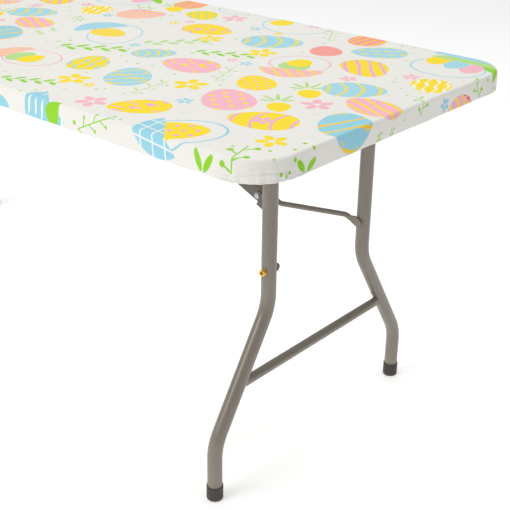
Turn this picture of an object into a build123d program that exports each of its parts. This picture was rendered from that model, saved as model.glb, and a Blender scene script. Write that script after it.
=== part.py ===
from build123d import *
import math
import os

# A six-foot folding table with a moulded top, two folding leg frames and a fitted, elasticated
# printed cloth. Millimetres. The origin is on the floor under the middle of the table, X runs along
# the length, Y across the width and +Z is up. The table stands open, with both leg frames locked.

# Overall
table_length = 1829.0
table_width = 762.0
table_height = 737.0
plan_corner_radius = 82.0
covered_edge_depth = 39.0

# Fitted cloth
cloth_thickness = 0.6
cloth_side_gap = 0.3
cloth_edge_radius = 7.0
cloth_return = 30.0
hem_casing_width = 9.0
hem_casing_height = 6.0
elastic_width = 4.0
elastic_thickness = 1.6

# Moulded top
moulding_wall = 2.5
panel_thickness = 20.0
rim_width = 35.0
boss_radius = 8.0
boss_height = 12.0
pit_mouth_radius = 14.0
pit_floor_radius = 6.0
pit_depth = 13.0
pit_pitch_x = 112.0
pit_pitch_y = 130.0
pit_columns = 15
pit_rows = 5

# Side rails under the top
rail_width = 20.0
rail_depth = 17.0
rail_wall = 1.5
rail_length = 1560.0
rail_rim_gap = 0.3
rail_screw_positions = (-700.0, -260.0, 260.0, 700.0)

# Screws
screw_head_radius = 4.5
screw_head_height = 2.6
screw_head_rounding = 1.2
screw_shank_radius = 2.2
screw_bite = 10.0
screw_hole_clearance = 0.05

# Leg frames; a drop is measured down from the underside, the pivot or the leg bolt
leg_inset = 171.0
pivot_drop = 26.4
tube_radius = 14.3
tube_wall = 1.2
leg_half_spacing = 149.0
foot_half_spacing = 297.0
upper_bend_drop = 74.0
lower_bend_height = 118.0
leg_bend_radius = 95.0
pivot_tube_half_length = 315.0
plug_flange = 2.0
plug_depth = 14.0
crossbar_height = 220.0
crossbar_radius = 9.5
crossbar_wall = 1.2
crossbar_flat_half_height = 12.5
crossbar_flat_half_thickness = 5.0
crossbar_flat_length = 38.0
vent_radius = 2.4
vent_rise = 26.0
weld_gap = 0.1

# Foot caps
cap_wall = 1.7
cap_height = 30.0
cap_floor = 4.0
cap_rounding = 3.0
cap_fit = 0.05

# Pivot saddles
saddle_offset = 285.0
saddle_width = 25.0
saddle_thickness = 2.5
saddle_flange = 18.0

# Brace
brace_bolt_drop = 260.0
brace_top_inset = 784.5
brace_top_drop = 14.4
fold_limit_degrees = 87.0
fold_slack = 0.6
pin_radius = 4.0
running_clearance = 0.05
channel_half_width = 10.4
channel_half_depth = 12.5
channel_wall = 1.5
side_clearance = 0.4
hanger_half_length = 10.0
hanger_thickness = 2.0
hanger_flange = 22.0
hanger_drop_below_pin = 21.5
rivet_head_radius = 5.5
rivet_head_height = 1.6
rivet_head_gap = 0.2
arm_radius = 5.3
arm_tab_thickness = 3.0
arm_tab_half_width = 9.0
arm_leg_gap = 0.6
arm_bend_radius = 11.0
arm_leg_tab_length = 15.0
arm_leg_straight_end = 24.0
arm_flare = 8.0
arm_elbow_straight = 7.0
arm_elbow_bend_distance = 38.0
ring_length = 16.0
ring_start = 8.0
ring_wall = 2.0
ring_height_clearance = 1.1
ring_side_clearance = 0.6
ring_corner_radius = 3.0

# Leg bolts, cap nuts and leg rivets
bolt_head_radius = 6.2
bolt_head_height = 6.5
bolt_recess_radius = 3.4
bolt_recess_depth = 4.0
bolt_flange_radius = 7.2
bolt_flange_height = 1.2
nut_radius = 7.0
nut_height = 8.0
nut_dome = 5.0

cut_overrun = 2.0

# Levels and lines that follow from the sizes above
cloth_bottom = table_height - covered_edge_depth
rim_bottom = cloth_bottom + cloth_thickness
panel_top = table_height - cloth_thickness
underside = panel_top - panel_thickness
panel_inset = cloth_thickness + cloth_side_gap
panel_length = table_length - 2 * panel_inset
panel_width = table_width - 2 * panel_inset
panel_corner_radius = plan_corner_radius - panel_inset
recess_corner_radius = panel_corner_radius - rim_width
panel_edge_radius = cloth_edge_radius - panel_inset
pivot_height = underside - pivot_drop
brace_bolt_height = pivot_height - brace_bolt_drop
upper_bend_height = brace_bolt_height - upper_bend_drop
brace_top_height = underside - brace_top_drop
cap_radius = tube_radius + cap_wall
leg_x = table_length / 2 - leg_inset
brace_top_x = table_length / 2 - brace_top_inset
rail_outer_face = panel_width / 2 - rim_width - rail_rim_gap
rail_centre = rail_outer_face - rail_width / 2
rail_bottom = underside - rail_depth
leg_inner_face = leg_half_spacing - tube_radius
leg_outer_face = leg_half_spacing + tube_radius
saddle_inner_radius = tube_radius + running_clearance
saddle_outer_radius = saddle_inner_radius + saddle_thickness
saddle_screw_offset = saddle_outer_radius + saddle_flange / 2
hanger_inner_face = channel_half_width + side_clearance
hanger_outer_face = hanger_inner_face + hanger_thickness
hanger_screw_offset = hanger_outer_face + hanger_flange / 2

# Brace link lengths: straight when open, and doubled back on itself when the legs are folded
swing = pivot_height - brace_bolt_height
fold_limit = math.radians(fold_limit_degrees)
open_span = math.hypot(leg_x - brace_top_x, brace_top_height - brace_bolt_height)
folded_bolt_x = leg_x - swing * math.sin(fold_limit)
folded_bolt_z = pivot_height - swing * math.cos(fold_limit)
folded_span = math.hypot(folded_bolt_x - brace_top_x, brace_top_height - folded_bolt_z)
lower_link = (open_span - folded_span) / 2 + fold_slack
upper_link = open_span - lower_link
slope = math.atan2(brace_top_height - brace_bolt_height, leg_x - brace_top_x)
elbow_x = brace_top_x + upper_link * math.cos(slope)
elbow_z = brace_top_height - upper_link * math.sin(slope)

tab_inner_face = channel_half_width + side_clearance
tab_outer_face = tab_inner_face + arm_tab_thickness
rivet_head_start = tab_outer_face + rivet_head_gap
rivet_end = rivet_head_start + rivet_head_height
ring_inner_half_width = rivet_end + ring_side_clearance
ring_inner_half_height = channel_half_depth + ring_height_clearance
leg_tab_outer_face = leg_inner_face - arm_leg_gap
leg_tab_inner_face = leg_tab_outer_face - arm_tab_thickness
arm_outer_line = leg_tab_outer_face - arm_radius
arm_elbow_line = tab_outer_face + arm_radius - arm_tab_thickness + side_clearance


def place(x, y, z, solid):
    return Pos(x, y, z) * solid


def y_cylinder(radius, x, z, y_start, y_end):
    length = y_end - y_start
    cylinder = Rot(90, 0, 0) * Cylinder(radius, length)
    return place(x, y_start + length / 2, z, cylinder)


def block(x_range, y_range, z_range):
    size = [high - low for low, high in (x_range, y_range, z_range)]
    middle = [(high + low) / 2 for low, high in (x_range, y_range, z_range)]
    return place(*middle, Box(*size))


def rounded_block(length, width, radius, z_low, z_high):
    return place(0, 0, z_low, extrude(RectangleRounded(length, width, radius), z_high - z_low))


def round_top(solid, radius):
    return fillet(solid.edges().group_by(Axis.Z)[-1], radius)


def to_left(solid):
    return mirror(solid, about=Plane.YZ)


def to_back(solid):
    return mirror(solid, about=Plane.XZ)


# Links lie in a plane that slopes from the elbow; local X runs along the link, local Y is across
def link_plane(x, z, direction_x, direction_z):
    x_dir = Vector(direction_x, 0, direction_z)
    return Plane(origin=(x, 0, z), x_dir=x_dir, z_dir=x_dir.cross(Vector(0, 1, 0)))


upper_plane = link_plane(brace_top_x, brace_top_height, math.cos(slope), -math.sin(slope))
lower_plane = link_plane(leg_x, brace_bolt_height, -math.cos(slope), math.sin(slope))


# Screw places under the top, each with a moulded boss above it
def rail_screw_points():
    return [(x, side * rail_centre) for x in rail_screw_positions for side in (-1, 1)]


def saddle_screw_points():
    points = []
    for end in (-1, 1):
        for side in (-1, 1):
            for step in (-1, 1):
                points.append((end * (leg_x + step * saddle_screw_offset), side * saddle_offset))
    return points


def hanger_screw_points():
    return [(end * brace_top_x, side * hanger_screw_offset) for end in (-1, 1) for side in (-1, 1)]


def pan_screw(x, y, seat_z):
    head = Cylinder(screw_head_radius, screw_head_height)
    head = fillet(head.edges().group_by(Axis.Z)[0], screw_head_rounding)
    head = place(x, y, seat_z - screw_head_height / 2, head)
    shank_length = underside + screw_bite - seat_z
    shank = place(x, y, seat_z + shank_length / 2, Cylinder(screw_shank_radius, shank_length))
    return head + shank


def screw_group(points, seat_z):
    return Compound(children=[pan_screw(x, y, seat_z) for x, y in points])


def screw_hole(x, y, z_low, z_high):
    radius = screw_shank_radius + screw_hole_clearance
    return place(x, y, (z_low + z_high) / 2, Cylinder(radius, z_high - z_low))


# The moulded top: one hollow shell with a deep rim and rows of pits moulded up into the underside
def pit_points():
    points = []
    for column in range(pit_columns):
        for row in range(pit_rows):
            x = (column - (pit_columns - 1) / 2) * pit_pitch_x
            y = (row - (pit_rows - 1) / 2) * pit_pitch_y
            points.append((x, y))
    return points


def pit_cone(x, y, extra):
    cone = Cone(pit_mouth_radius + extra, pit_floor_radius + extra, pit_depth + extra)
    return place(x, y, underside + (pit_depth + extra) / 2, cone)


def make_tabletop_panel():
    outside = rounded_block(panel_length, panel_width, panel_corner_radius, rim_bottom, panel_top)
    outside = round_top(outside, panel_edge_radius)
    recess_length = panel_length - 2 * rim_width
    recess_width = panel_width - 2 * rim_width
    recess = rounded_block(
        recess_length, recess_width, recess_corner_radius, rim_bottom - cut_overrun, underside
    )
    hollow_length = panel_length - 2 * moulding_wall
    hollow_width = panel_width - 2 * moulding_wall
    hollow = rounded_block(
        hollow_length,
        hollow_width,
        panel_corner_radius - moulding_wall,
        rim_bottom + moulding_wall,
        panel_top - moulding_wall,
    )
    hollow = round_top(hollow, panel_edge_radius - moulding_wall)
    floor_block = rounded_block(
        recess_length + 2 * moulding_wall,
        recess_width + 2 * moulding_wall,
        recess_corner_radius + moulding_wall,
        rim_bottom,
        underside + moulding_wall,
    )
    hollow = hollow - floor_block
    screw_points = rail_screw_points() + saddle_screw_points() + hanger_screw_points()
    bosses = [
        place(x, y, underside + boss_height / 2, Cylinder(boss_radius, boss_height))
        for x, y in screw_points
    ]
    pit_walls = [pit_cone(x, y, moulding_wall) for x, y in pit_points()]
    hollow = hollow - (bosses + pit_walls)
    pits = [pit_cone(x, y, 0) for x, y in pit_points()]
    holes = [screw_hole(x, y, underside - cut_overrun, underside + screw_bite) for x, y in screw_points]
    return outside - ([recess, hollow] + pits + holes)


# The cloth: top sheet, skirt over the edge and a return under the rim, then the elastic hem
def make_cloth_cover():
    outside = rounded_block(table_length, table_width, plan_corner_radius, cloth_bottom, table_height)
    outside = round_top(outside, cloth_edge_radius)
    inside = rounded_block(
        table_length - 2 * cloth_thickness,
        table_width - 2 * cloth_thickness,
        plan_corner_radius - cloth_thickness,
        rim_bottom,
        panel_top,
    )
    inside = round_top(inside, cloth_edge_radius - cloth_thickness)
    mouth = rounded_block(
        table_length - 2 * cloth_return,
        table_width - 2 * cloth_return,
        plan_corner_radius - cloth_return,
        cloth_bottom - cut_overrun,
        rim_bottom + cut_overrun,
    )
    return outside - inside - mouth


def hem_ring(inset, width, z_low, z_high):
    outer = rounded_block(
        table_length - 2 * inset,
        table_width - 2 * inset,
        plan_corner_radius - inset,
        z_low,
        z_high,
    )
    inner = rounded_block(
        table_length - 2 * (inset + width),
        table_width - 2 * (inset + width),
        plan_corner_radius - inset - width,
        z_low - cut_overrun,
        z_high + cut_overrun,
    )
    return outer - inner


def make_hem_casing():
    inset = cloth_return - hem_casing_width
    low = cloth_bottom - hem_casing_height
    outside = hem_ring(inset, hem_casing_width, low, cloth_bottom)
    inside = hem_ring(
        inset + cloth_thickness,
        hem_casing_width - 2 * cloth_thickness,
        low + cloth_thickness,
        cloth_bottom - cloth_thickness,
    )
    return outside - inside


def make_elastic_band():
    inset = cloth_return - (hem_casing_width + elastic_width) / 2
    middle = cloth_bottom - hem_casing_height / 2
    return hem_ring(inset, elastic_width, middle - elastic_thickness / 2, middle + elastic_thickness / 2)


# Rails, saddles and hangers screwed up under the top
def make_front_rail():
    half = rail_length / 2
    y_low = -rail_outer_face
    y_high = y_low + rail_width
    outer = block((-half, half), (y_low, y_high), (rail_bottom, underside))
    inner = block(
        (-half - cut_overrun, half + cut_overrun),
        (y_low + rail_wall, y_high - rail_wall),
        (rail_bottom + rail_wall, underside - rail_wall),
    )
    holes = [
        screw_hole(x, -rail_centre, rail_bottom - cut_overrun, underside + cut_overrun)
        for x in rail_screw_positions
    ]
    return outer - ([inner] + holes)


def make_right_front_saddle():
    y_low = -saddle_offset - saddle_width / 2
    y_high = y_low + saddle_width
    strap = y_cylinder(saddle_outer_radius, leg_x, pivot_height, y_low, y_high)
    strap += block(
        (leg_x - saddle_outer_radius, leg_x + saddle_outer_radius),
        (y_low, y_high),
        (pivot_height, underside),
    )
    reach = saddle_outer_radius + saddle_flange
    strap += block(
        (leg_x - reach, leg_x + reach),
        (y_low, y_high),
        (underside - saddle_thickness, underside),
    )
    strap -= y_cylinder(
        saddle_inner_radius, leg_x, pivot_height, y_low - cut_overrun, y_high + cut_overrun
    )
    strap -= block(
        (leg_x - saddle_inner_radius, leg_x + saddle_inner_radius),
        (y_low - cut_overrun, y_high + cut_overrun),
        (pivot_height, underside + cut_overrun),
    )
    for step in (-1, 1):
        strap -= screw_hole(
            leg_x + step * saddle_screw_offset,
            -saddle_offset,
            underside - saddle_thickness - cut_overrun,
            underside + cut_overrun,
        )
    return strap


def make_right_hanger():
    x_range = (brace_top_x - hanger_half_length, brace_top_x + hanger_half_length)
    wide_range = (x_range[0] - cut_overrun, x_range[1] + cut_overrun)
    bottom = brace_top_height - hanger_drop_below_pin
    loop = block(x_range, (-hanger_outer_face, hanger_outer_face), (bottom, underside))
    reach = hanger_outer_face + hanger_flange
    loop += block(x_range, (-reach, reach), (underside - hanger_thickness, underside))
    loop -= block(
        wide_range,
        (-hanger_inner_face, hanger_inner_face),
        (bottom + hanger_thickness, underside + cut_overrun),
    )
    loop -= y_cylinder(pin_radius, brace_top_x, brace_top_height, -reach, reach)
    for side in (-1, 1):
        loop -= screw_hole(
            brace_top_x,
            side * hanger_screw_offset,
            underside - hanger_thickness - cut_overrun,
            underside + cut_overrun,
        )
    return loop


def cross_pin(x, z, head_start):
    end = head_start + rivet_head_height
    pin = y_cylinder(pin_radius, x, z, -head_start, head_start)
    for low, high in ((-end, -head_start), (head_start, end)):
        pin += y_cylinder(rivet_head_radius, x, z, low, high)
    return pin


# Leg frame, right-hand end
def leg_path():
    return FilletPolyline(
        (leg_x, -leg_half_spacing, pivot_height),
        (leg_x, -leg_half_spacing, upper_bend_height),
        (leg_x, -foot_half_spacing, lower_bend_height),
        (leg_x, -foot_half_spacing, cap_floor),
        radius=leg_bend_radius,
    )


def along(path, radius):
    return sweep(Plane(origin=path @ 0, z_dir=path % 0) * Circle(radius), path=path)


def make_right_front_leg():
    path = leg_path()
    leg = along(path, tube_radius) - along(path, tube_radius - tube_wall)
    y_low = -leg_outer_face - cut_overrun
    y_high = -leg_inner_face + cut_overrun
    leg -= y_cylinder(tube_radius + weld_gap, leg_x, pivot_height, y_low, y_high)
    leg -= block(
        (leg_x - tube_radius - cut_overrun, leg_x + tube_radius + cut_overrun),
        (y_low, y_high),
        (pivot_height - cut_overrun, pivot_height + tube_radius),
    )
    leg -= y_cylinder(pin_radius + running_clearance, leg_x, brace_bolt_height, y_low, y_high)
    vent_height = crossbar_height + vent_rise
    leg -= y_cylinder(vent_radius, leg_x, vent_height, -leg_line(vent_height), 0)
    return leg


# Distance of the leg's centreline from the middle at a height on its slanting stretch
def leg_line(height):
    share = (upper_bend_height - height) / (upper_bend_height - lower_bend_height)
    return leg_half_spacing + share * (foot_half_spacing - leg_half_spacing)


def make_right_pivot_tube():
    half = pivot_tube_half_length
    tube = y_cylinder(tube_radius, leg_x, pivot_height, -half, half)
    return tube - y_cylinder(
        tube_radius - tube_wall, leg_x, pivot_height, -half - cut_overrun, half + cut_overrun
    )


def make_right_pivot_plugs():
    half = pivot_tube_half_length
    front = y_cylinder(tube_radius, leg_x, pivot_height, -half - plug_flange, -half)
    front += y_cylinder(
        tube_radius - tube_wall - running_clearance, leg_x, pivot_height, -half, -half + plug_depth
    )
    return Compound(children=[front, to_back(front)])


def make_right_crossbar():
    end = leg_line(crossbar_height)
    flat_start = end - crossbar_flat_length
    bar = y_cylinder(crossbar_radius, leg_x, crossbar_height, -flat_start, flat_start)
    bar -= y_cylinder(crossbar_radius - crossbar_wall, leg_x, crossbar_height, -flat_start, flat_start)
    round_section = Plane(origin=(leg_x, -flat_start, crossbar_height), z_dir=(0, -1, 0))
    flat_section = Plane(origin=(leg_x, -end, crossbar_height), z_dir=(0, -1, 0), x_dir=(1, 0, 0))
    crushed = loft(
        [
            round_section * Ellipse(crossbar_radius, crossbar_radius),
            flat_section * Ellipse(crossbar_flat_half_thickness, crossbar_flat_half_height),
        ]
    )
    crushed -= along(leg_path(), tube_radius + weld_gap)
    return bar + crushed + to_back(crushed)


def make_right_front_cap():
    cap = Cylinder(cap_radius, cap_height)
    cap = fillet(cap.edges().group_by(Axis.Z)[0], cap_rounding)
    cap = place(leg_x, -foot_half_spacing, cap_height / 2, cap)
    bore_height = cap_height - cap_floor + cut_overrun
    bore = Cylinder(tube_radius + cap_fit, bore_height)
    return cap - place(leg_x, -foot_half_spacing, cap_floor + bore_height / 2, bore)


def make_right_front_leg_bolt():
    face = -leg_outer_face
    bolt = y_cylinder(pin_radius, leg_x, brace_bolt_height, face, -leg_inner_face - rivet_head_gap)
    flange_end = face - bolt_flange_height
    head_end = face - bolt_head_height
    bolt += y_cylinder(bolt_flange_radius, leg_x, brace_bolt_height, flange_end, face)
    bolt += y_cylinder(bolt_head_radius, leg_x, brace_bolt_height, head_end, flange_end)
    recess_end = head_end + bolt_recess_depth
    bolt -= y_cylinder(bolt_recess_radius, leg_x, brace_bolt_height, head_end - cut_overrun, recess_end)
    return bolt


def make_right_back_leg_rivet():
    rivet = y_cylinder(pin_radius, leg_x, brace_bolt_height, leg_inner_face + rivet_head_gap, leg_outer_face)
    head_end = leg_outer_face + bolt_flange_height
    rivet += y_cylinder(bolt_flange_radius, leg_x, brace_bolt_height, leg_outer_face, head_end)
    return rivet


# Upper brace: a channel open underneath, with round ears at both ends
def make_right_upper_brace():
    side = Plane(origin=upper_plane.origin, x_dir=upper_plane.x_dir, z_dir=(0, -1, 0))
    ears = side * Pos(upper_link / 2, 0) * SlotCenterToCenter(upper_link, 2 * channel_half_depth)
    channel = extrude(ears, channel_half_width, both=True)
    inside_half_width = channel_half_width - channel_wall
    inside_height = 2 * channel_half_depth
    inside_length = upper_link + 2 * (channel_half_depth + cut_overrun)
    inside = Box(inside_length, inside_height, 2 * inside_half_width)
    inside_drop = channel_half_depth - channel_wall - inside_height / 2
    channel -= side * Pos(upper_link / 2, inside_drop, 0) * inside
    for x, z in ((brace_top_x, brace_top_height), (elbow_x, elbow_z)):
        channel -= y_cylinder(
            pin_radius + running_clearance,
            x,
            z,
            -channel_half_width - cut_overrun,
            channel_half_width + cut_overrun,
        )
    return channel


# Lower brace: two bent rods with flattened ends, which make a V from the elbow to the legs
def make_right_front_arm():
    elbow_start = lower_link - arm_elbow_bend_distance
    tab_start = elbow_start + arm_elbow_straight
    path = lower_plane * FilletPolyline(
        (arm_leg_tab_length + arm_flare, -arm_outer_line),
        (arm_leg_straight_end + arm_flare, -arm_outer_line),
        (elbow_start, -arm_elbow_line),
        (tab_start, -arm_elbow_line),
        radius=arm_bend_radius,
    )
    arm = along(path, arm_radius)
    leg_tab_middle = -(leg_tab_outer_face + leg_tab_inner_face) / 2
    elbow_tab_middle = -(tab_inner_face + tab_outer_face) / 2
    elbow_tab_start = tab_start + arm_flare
    arm += flare(arm_leg_tab_length + arm_flare, -arm_outer_line, arm_leg_tab_length, leg_tab_middle)
    arm += flare(tab_start, -arm_elbow_line, elbow_tab_start, elbow_tab_middle)
    arm += tab(0, arm_leg_tab_length, leg_tab_middle)
    arm += tab(lower_link, elbow_tab_start, elbow_tab_middle)
    hole = pin_radius + running_clearance
    arm -= y_cylinder(hole, leg_x, brace_bolt_height, -leg_inner_face, -leg_tab_inner_face + cut_overrun)
    arm -= y_cylinder(hole, elbow_x, elbow_z, -rivet_head_start, 0)
    return arm


# A flattened rod end: a plate with a round nose about the pin, seen from the side
def tab(pin_at, root_at, y_middle):
    side = Plane(origin=lower_plane.origin, x_dir=lower_plane.x_dir, z_dir=(0, 1, 0))
    nose = Pos(pin_at, 0) * Circle(arm_tab_half_width)
    strip = Pos((pin_at + root_at) / 2, 0) * Rectangle(abs(root_at - pin_at), 2 * arm_tab_half_width)
    plate = extrude(side * (nose + strip), arm_tab_thickness / 2, both=True)
    return place(0, y_middle, 0, plate)


# The stretch where the round rod is pressed out into the tab
def flare(rod_at, rod_y, tab_at, tab_y):
    heading = 1 if tab_at > rod_at else -1
    rod_plane = lower_plane * Plane(origin=(rod_at, rod_y, 0), x_dir=(0, 1, 0), z_dir=(heading, 0, 0))
    tab_plane = lower_plane * Plane(origin=(tab_at, tab_y, 0), x_dir=(0, 1, 0), z_dir=(heading, 0, 0))
    return loft(
        [
            rod_plane * Circle(arm_radius),
            tab_plane * Ellipse(arm_tab_thickness / 2, arm_tab_half_width),
        ]
    )


def make_right_front_cap_nut():
    face = -leg_tab_inner_face
    base_end = face + nut_height - nut_dome
    nut = y_cylinder(nut_radius, leg_x, brace_bolt_height, face, base_end)
    dome = y_cylinder(nut_radius, leg_x, brace_bolt_height, base_end, face + nut_height)
    dome = fillet(dome.edges().group_by(Axis.Y)[-1], nut_dome - running_clearance)
    nut += dome
    nut += y_cylinder(pin_radius, leg_x, brace_bolt_height, -leg_tab_outer_face, face)
    return nut


def make_right_back_arm_rivet():
    face = leg_tab_inner_face
    rivet = y_cylinder(pin_radius, leg_x, brace_bolt_height, face, leg_tab_outer_face)
    rivet += y_cylinder(bolt_flange_radius, leg_x, brace_bolt_height, face - bolt_flange_height, face)
    return rivet


def make_right_lock_ring():
    outer_width = 2 * (ring_inner_half_width + ring_wall)
    outer_height = 2 * (ring_inner_half_height + ring_wall)
    profile = RectangleRounded(outer_height, outer_width, ring_corner_radius)
    profile -= RectangleRounded(
        2 * ring_inner_half_height, 2 * ring_inner_half_width, ring_corner_radius - ring_wall
    )
    distance = lower_link - ring_start - ring_length
    across = lower_plane * Plane(origin=(distance, 0, 0), x_dir=(0, 0, 1), z_dir=(1, 0, 0))
    return extrude(across * profile, ring_length)


def save(node, solid):
    solid.label = node
    export_step(solid, f"parts/{node}.step")


def save_pair(name, right):
    save(f"right_{name}", right)
    save(f"left_{name}", to_left(right))


def save_four(name, right_front):
    save_pair(f"front_{name}", right_front)
    save_pair(f"back_{name}", to_back(right_front))


os.makedirs("parts", exist_ok=True)

save("tabletop_panel", make_tabletop_panel())
save("cloth_cover", make_cloth_cover())
save("hem_casing", make_hem_casing())
save("elastic_band", make_elastic_band())

front_rail = make_front_rail()
save("front_rail", front_rail)
save("back_rail", to_back(front_rail))
save("rail_screws", screw_group(rail_screw_points(), rail_bottom))
save("saddle_screws", screw_group(saddle_screw_points(), underside - saddle_thickness))
save("hanger_screws", screw_group(hanger_screw_points(), underside - hanger_thickness))
save_four("saddle", make_right_front_saddle())
save_pair("hanger", make_right_hanger())
save_pair("hanger_pin", cross_pin(brace_top_x, brace_top_height, hanger_outer_face))

save_pair("pivot_tube", make_right_pivot_tube())
save_pair("pivot_plugs", make_right_pivot_plugs())
save_four("leg", make_right_front_leg())
save_pair("crossbar", make_right_crossbar())
save_four("foot_cap", make_right_front_cap())
save_pair("front_leg_bolt", make_right_front_leg_bolt())
save_pair("back_leg_rivet", make_right_back_leg_rivet())

save_pair("upper_brace", make_right_upper_brace())
save_pair("elbow_rivet", cross_pin(elbow_x, elbow_z, rivet_head_start))
save_four("brace_arm", make_right_front_arm())
save_pair("front_cap_nut", make_right_front_cap_nut())
save_pair("back_arm_rivet", make_right_back_arm_rivet())
save_pair("lock_ring", make_right_lock_ring())
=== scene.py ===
import math
import bpy
import numpy as np
from mathutils import Matrix, Vector


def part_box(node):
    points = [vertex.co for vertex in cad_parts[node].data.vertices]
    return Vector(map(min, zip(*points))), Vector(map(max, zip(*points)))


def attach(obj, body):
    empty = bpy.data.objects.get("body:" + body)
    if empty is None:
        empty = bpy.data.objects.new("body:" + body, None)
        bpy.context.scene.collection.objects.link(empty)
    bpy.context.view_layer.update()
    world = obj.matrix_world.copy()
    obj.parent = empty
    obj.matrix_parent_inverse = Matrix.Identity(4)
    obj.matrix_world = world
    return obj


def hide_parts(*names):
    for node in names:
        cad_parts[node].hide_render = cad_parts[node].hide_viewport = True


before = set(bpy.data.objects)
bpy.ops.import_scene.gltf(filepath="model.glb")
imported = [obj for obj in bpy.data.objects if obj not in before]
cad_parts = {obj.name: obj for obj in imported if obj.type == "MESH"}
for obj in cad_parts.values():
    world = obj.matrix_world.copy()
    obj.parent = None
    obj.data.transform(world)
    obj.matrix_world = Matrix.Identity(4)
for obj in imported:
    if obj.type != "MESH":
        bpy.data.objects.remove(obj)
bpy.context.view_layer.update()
clothLow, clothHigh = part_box("cloth_cover")
casingLow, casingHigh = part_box("hem_casing")
elasticLow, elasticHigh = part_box("elastic_band")
mm = 0.001
print("frame loaded,", len(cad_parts), "nodes")

cameraView = {
    "place": (1.8118, -1.4502, 1.2676),
    "tilt": 64.36,
    "heading": 40.27,
    "roll": 0.83,
    "lens": 72.64,
    "sensor": 36.0,
}
stageLook = {
    "floorSize": 40.0,
    "floorColour": (250, 250, 250),
    "floorHaze": (245, 245, 245),
    "floorGlow": 0.34,
    "skyColour": (255, 255, 255),
    "skyStrength": 0.5,
}
lamps = [
    # name, place, aimed at, size, watts
    ("keyLamp", (-0.6, -3.6, 3.0), (0.3, 0.0, 0.6), 2.6, 78.0),
    ("topLamp", (0.4, 0.6, 3.4), (0.4, 0.0, 0.7), 3.0, 42.0),
]


def linear(red, green, blue):
    # screen colour 0 to 255, as the linear colour a shader takes
    channels = []
    for value in (red, green, blue):
        share = value / 255
        channels.append(share / 12.92 if share < 0.04045 else ((share + 0.055) / 1.055) ** 2.4)
    return (*channels, 1.0)


def makeCamera():
    data = bpy.data.cameras.new("camera")
    data.lens = cameraView["lens"]
    data.sensor_width = cameraView["sensor"]
    camera = bpy.data.objects.new("camera", data)
    bpy.context.scene.collection.objects.link(camera)
    turn = Matrix.Rotation(math.radians(cameraView["heading"]), 4, "Z")
    turn = turn @ Matrix.Rotation(math.radians(cameraView["tilt"]), 4, "X")
    turn = turn @ Matrix.Rotation(math.radians(cameraView["roll"]), 4, "Z")
    camera.matrix_world = Matrix.Translation(cameraView["place"]) @ turn
    bpy.context.scene.camera = camera


def makeLamps():
    for name, place, target, size, watts in lamps:
        data = bpy.data.lights.new(name, "AREA")
        data.energy = watts
        data.size = size
        lamp = bpy.data.objects.new(name, data)
        lamp.location = place
        lamp.rotation_euler = (Vector(target) - Vector(place)).to_track_quat("-Z", "Y").to_euler()
        bpy.context.scene.collection.objects.link(lamp)
    world = bpy.data.worlds.new("studio")
    world.use_nodes = True
    sky = world.node_tree.nodes["Background"]
    sky.inputs["Color"].default_value = linear(*stageLook["skyColour"])
    sky.inputs["Strength"].default_value = stageLook["skyStrength"]
    bpy.context.scene.world = world
    bpy.context.scene.view_settings.view_transform = "Standard"


class Signal:
    # one output socket; ordinary maths on it adds Math nodes
    def __init__(self, shader, socket):
        self.shader = shader
        self.socket = socket

    def math(self, operation, *others):
        sockets = {0: self}
        for place, other in enumerate(others):
            sockets[place + 1] = other
        return self.shader.add("ShaderNodeMath", {"operation": operation}, sockets)

    def __add__(self, other):
        return self.math("ADD", other)

    def __radd__(self, other):
        return self.math("ADD", other)

    def __sub__(self, other):
        return self.math("SUBTRACT", other)

    def __rsub__(self, other):
        return self.shader.add("ShaderNodeMath", {"operation": "SUBTRACT"}, {0: other, 1: self})

    def __mul__(self, other):
        return self.math("MULTIPLY", other)

    def __rmul__(self, other):
        return self.math("MULTIPLY", other)

    def __truediv__(self, other):
        return self.math("DIVIDE", other)

    def __rtruediv__(self, other):
        return self.shader.add("ShaderNodeMath", {"operation": "DIVIDE"}, {0: other, 1: self})

    def __abs__(self):
        return self.math("ABSOLUTE")

    def inside(self, gain):
        # 1 where the value is above zero, with a soft edge: a higher gain is crisper
        settings = {"operation": "MULTIPLY_ADD", "use_clamp": True}
        return self.shader.add("ShaderNodeMath", settings, {0: self, 1: gain, 2: 0.5})

    def output(self, name):
        return Signal(self.shader, self.socket.node.outputs[name])


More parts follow.
